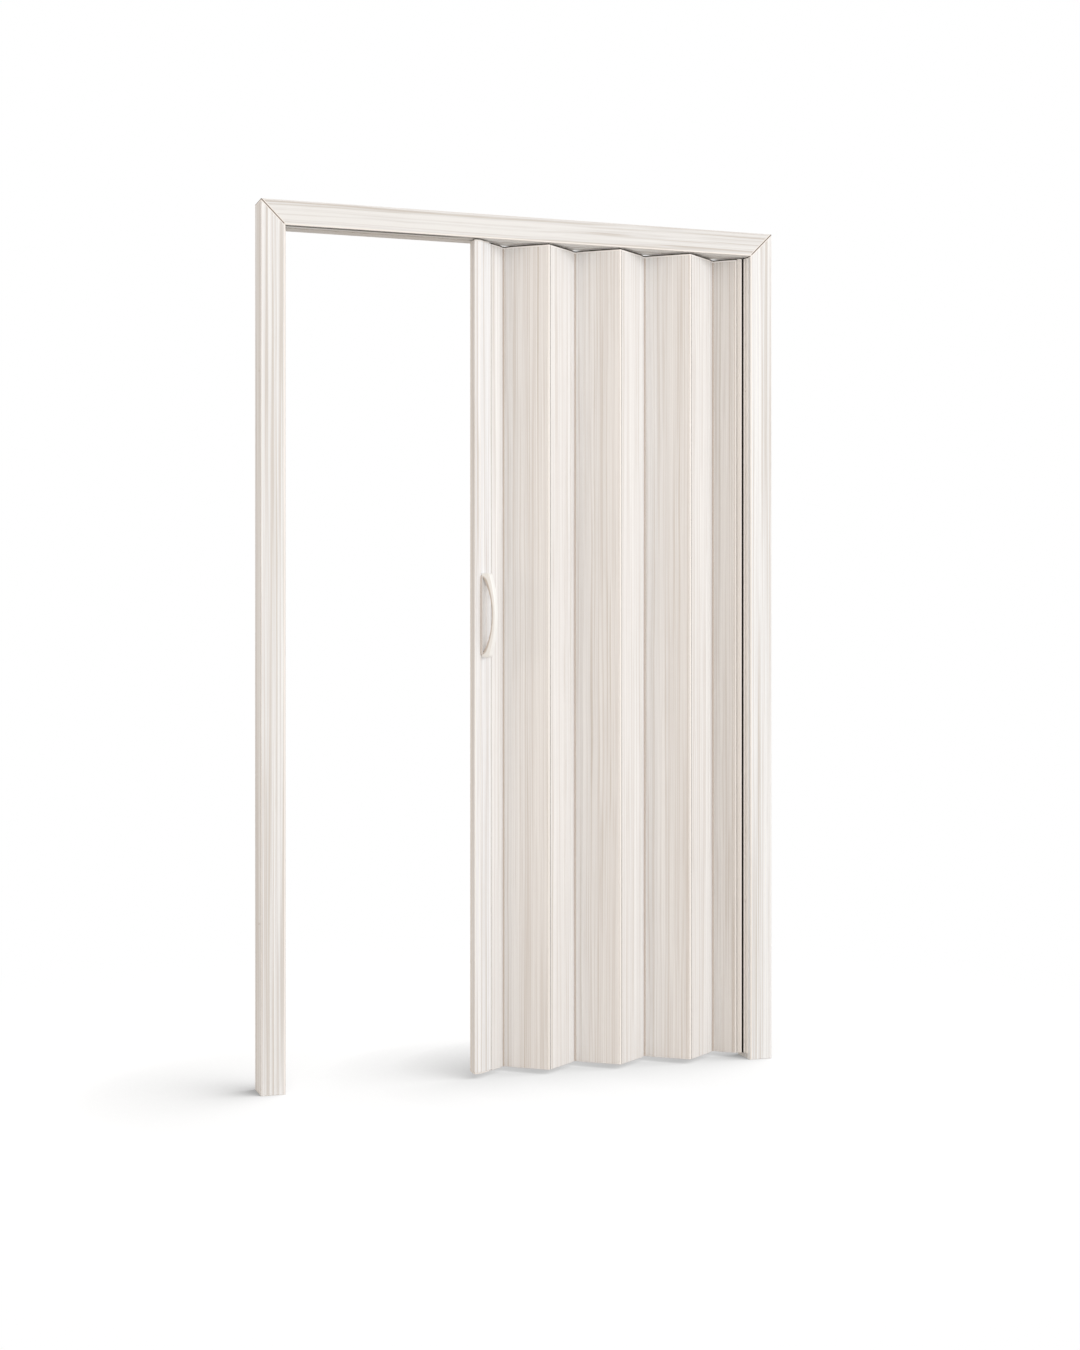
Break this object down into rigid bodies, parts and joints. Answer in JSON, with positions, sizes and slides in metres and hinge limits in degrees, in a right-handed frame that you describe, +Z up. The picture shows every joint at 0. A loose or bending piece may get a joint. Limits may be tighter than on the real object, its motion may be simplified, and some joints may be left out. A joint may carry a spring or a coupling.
{
  "type": "accordion door",
  "caption": "Accordion door of hooked woodgrain slats that folds along a head track inside a mitred door frame, with a lead post and a bow pull handle.",
  "frame": {"origin": "on the floor, midway across the frame and midway between the handle's bow and the rearmost fold", "axes": "+Z up, +X to the right along the opening, front faces -Y"},
  "size_m": [1.31, 0.098, 2.1],
  "materials": {
    "frame_grain": "pale ash woodgrain film on rigid PVC",
    "header_grain": "pale ash woodgrain film on rigid PVC",
    "slat_grain": "pale ash woodgrain film on rigid PVC",
    "post_grain": "pale ash woodgrain film on rigid PVC",
    "white_trim": "smooth off-white PVC",
    "handle_white": "smooth satin off-white plastic",
    "grey_moulding": "grey moulded plastic",
    "white_nylon": "natural nylon",
    "magnet_black": "flexible magnetic strip",
    "track_metal": "mill finish",
    "zinc_steel": "zinc plated"
  },
  "bodies": {
    "frame": {"jamb_left": "frame_grain", "jamb_right": "frame_grain", "header": "header_grain", "corner_key_left": "grey_moulding", "corner_key_right": "grey_moulding", "key_screws": "zinc_steel", "foot_left": "grey_moulding", "foot_right": "grey_moulding", "track": "track_metal", "track_screws": "zinc_steel", "track_stop_left": "white_nylon", "track_stop_right": "white_nylon", "strike_strip": "white_trim", "strike_keeper": "zinc_steel", "strike_screws": "zinc_steel", "anchor_channel": "white_trim", "anchor_screws": "zinc_steel"},
    "slat_anchor": {"slat_anchor": "slat_grain"},
    "slat_1": {"slat_1": "slat_grain", "hanger_insert_1": "grey_moulding", "hanger_pin_1": "zinc_steel"},
    "glider_1": {"glider_1": "white_nylon"},
    "slat_2": {"slat_2": "slat_grain"},
    "slat_3": {"slat_3": "slat_grain", "hanger_insert_3": "grey_moulding", "hanger_pin_3": "zinc_steel"},
    "glider_3": {"glider_3": "white_nylon"},
    "slat_4": {"slat_4": "slat_grain"},
    "slat_5": {"slat_5": "slat_grain", "hanger_insert_5": "grey_moulding", "hanger_pin_5": "zinc_steel"},
    "glider_5": {"glider_5": "white_nylon"},
    "slat_6": {"slat_6": "slat_grain"},
    "slat_lead": {"slat_lead": "slat_grain"},
    "lead_post": {"lead_post": "post_grain", "post_cap_top": "white_trim", "post_cap_bottom": "white_trim", "post_magnet": "magnet_black", "handle_front": "handle_white", "handle_bolts": "zinc_steel", "trolley": "white_nylon", "hanger_bolt": "zinc_steel", "post_hanger": "grey_moulding"},
    "wheels_leading": {"wheels_leading": "white_nylon"},
    "wheels_trailing": {"wheels_trailing": "white_nylon"}
  },
  "joints": [
    {"name": "curtain_fold", "type": "hinge", "parent": "frame", "child": "slat_anchor", "pos_m": [0.571, 0.00862, 1.0245], "axis": [0, 0, -1], "range_deg": [-33.21, 42.57]},
    {"name": "fold_1", "type": "hinge", "parent": "slat_anchor", "child": "slat_1", "pos_m": [0.52415, 0.04448, 1.0245], "axis": [0, 0, 1], "range_deg": [-66.42, 85.14]},
    {"name": "glider_1_turn", "type": "hinge", "parent": "slat_1", "child": "glider_1", "pos_m": [0.4773, 0.00862, 2.05], "axis": [0, 0, -1], "range_deg": [-33.21, 42.57]},
    {"name": "fold_2", "type": "hinge", "parent": "slat_1", "child": "slat_2", "pos_m": [0.43045, -0.02724, 1.0245], "axis": [0, 0, -1], "range_deg": [-66.42, 85.14]},
    {"name": "fold_3", "type": "hinge", "parent": "slat_2", "child": "slat_3", "pos_m": [0.33674, 0.04448, 1.0245], "axis": [0, 0, 1], "range_deg": [-66.42, 85.14]},
    {"name": "glider_3_turn", "type": "hinge", "parent": "slat_3", "child": "glider_3", "pos_m": [0.28989, 0.00862, 2.05], "axis": [0, 0, -1], "range_deg": [-33.21, 42.57]},
    {"name": "fold_4", "type": "hinge", "parent": "slat_3", "child": "slat_4", "pos_m": [0.24304, -0.02724, 1.0245], "axis": [0, 0, -1], "range_deg": [-66.42, 85.14]},
    {"name": "fold_5", "type": "hinge", "parent": "slat_4", "child": "slat_5", "pos_m": [0.14933, 0.04448, 1.0245], "axis": [0, 0, 1], "range_deg": [-66.42, 85.14]},
    {"name": "glider_5_turn", "type": "hinge", "parent": "slat_5", "child": "glider_5", "pos_m": [0.10248, 0.00862, 2.05], "axis": [0, 0, -1], "range_deg": [-33.21, 42.57]},
    {"name": "fold_6", "type": "hinge", "parent": "slat_5", "child": "slat_6", "pos_m": [0.05563, -0.02724, 1.0245], "axis": [0, 0, -1], "range_deg": [-66.42, 85.14]},
    {"name": "fold_7", "type": "hinge", "parent": "slat_6", "child": "slat_lead", "pos_m": [-0.03807, 0.04448, 1.0245], "axis": [0, 0, 1], "range_deg": [-66.42, 85.14]},
    {"name": "lead_fold", "type": "hinge", "parent": "slat_lead", "child": "lead_post", "pos_m": [-0.08492, 0.00862, 1.0245], "axis": [0, 0, -1], "range_deg": [-33.21, 42.57]},
    {"name": "wheels_leading_spin", "type": "hinge", "parent": "lead_post", "child": "wheels_leading", "pos_m": [-0.11742, 0.00862, 2.05305], "axis": [0, 1, 0], "continuous": true},
    {"name": "wheels_trailing_spin", "type": "hinge", "parent": "lead_post", "child": "wheels_trailing", "pos_m": [-0.10142, 0.00862, 2.05305], "axis": [0, 1, 0], "continuous": true}
  ],
  "couplings": [
    {"joint": "fold_1", "follows": "curtain_fold", "ratio": 2},
    {"joint": "glider_1_turn", "follows": "curtain_fold", "ratio": 1},
    {"joint": "fold_2", "follows": "curtain_fold", "ratio": 2},
    {"joint": "fold_3", "follows": "curtain_fold", "ratio": 2},
    {"joint": "glider_3_turn", "follows": "curtain_fold", "ratio": 1},
    {"joint": "fold_4", "follows": "curtain_fold", "ratio": 2},
    {"joint": "fold_5", "follows": "curtain_fold", "ratio": 2},
    {"joint": "glider_5_turn", "follows": "curtain_fold", "ratio": 1},
    {"joint": "fold_6", "follows": "curtain_fold", "ratio": 2},
    {"joint": "fold_7", "follows": "curtain_fold", "ratio": 2},
    {"joint": "lead_fold", "follows": "curtain_fold", "ratio": 1}
  ]
}
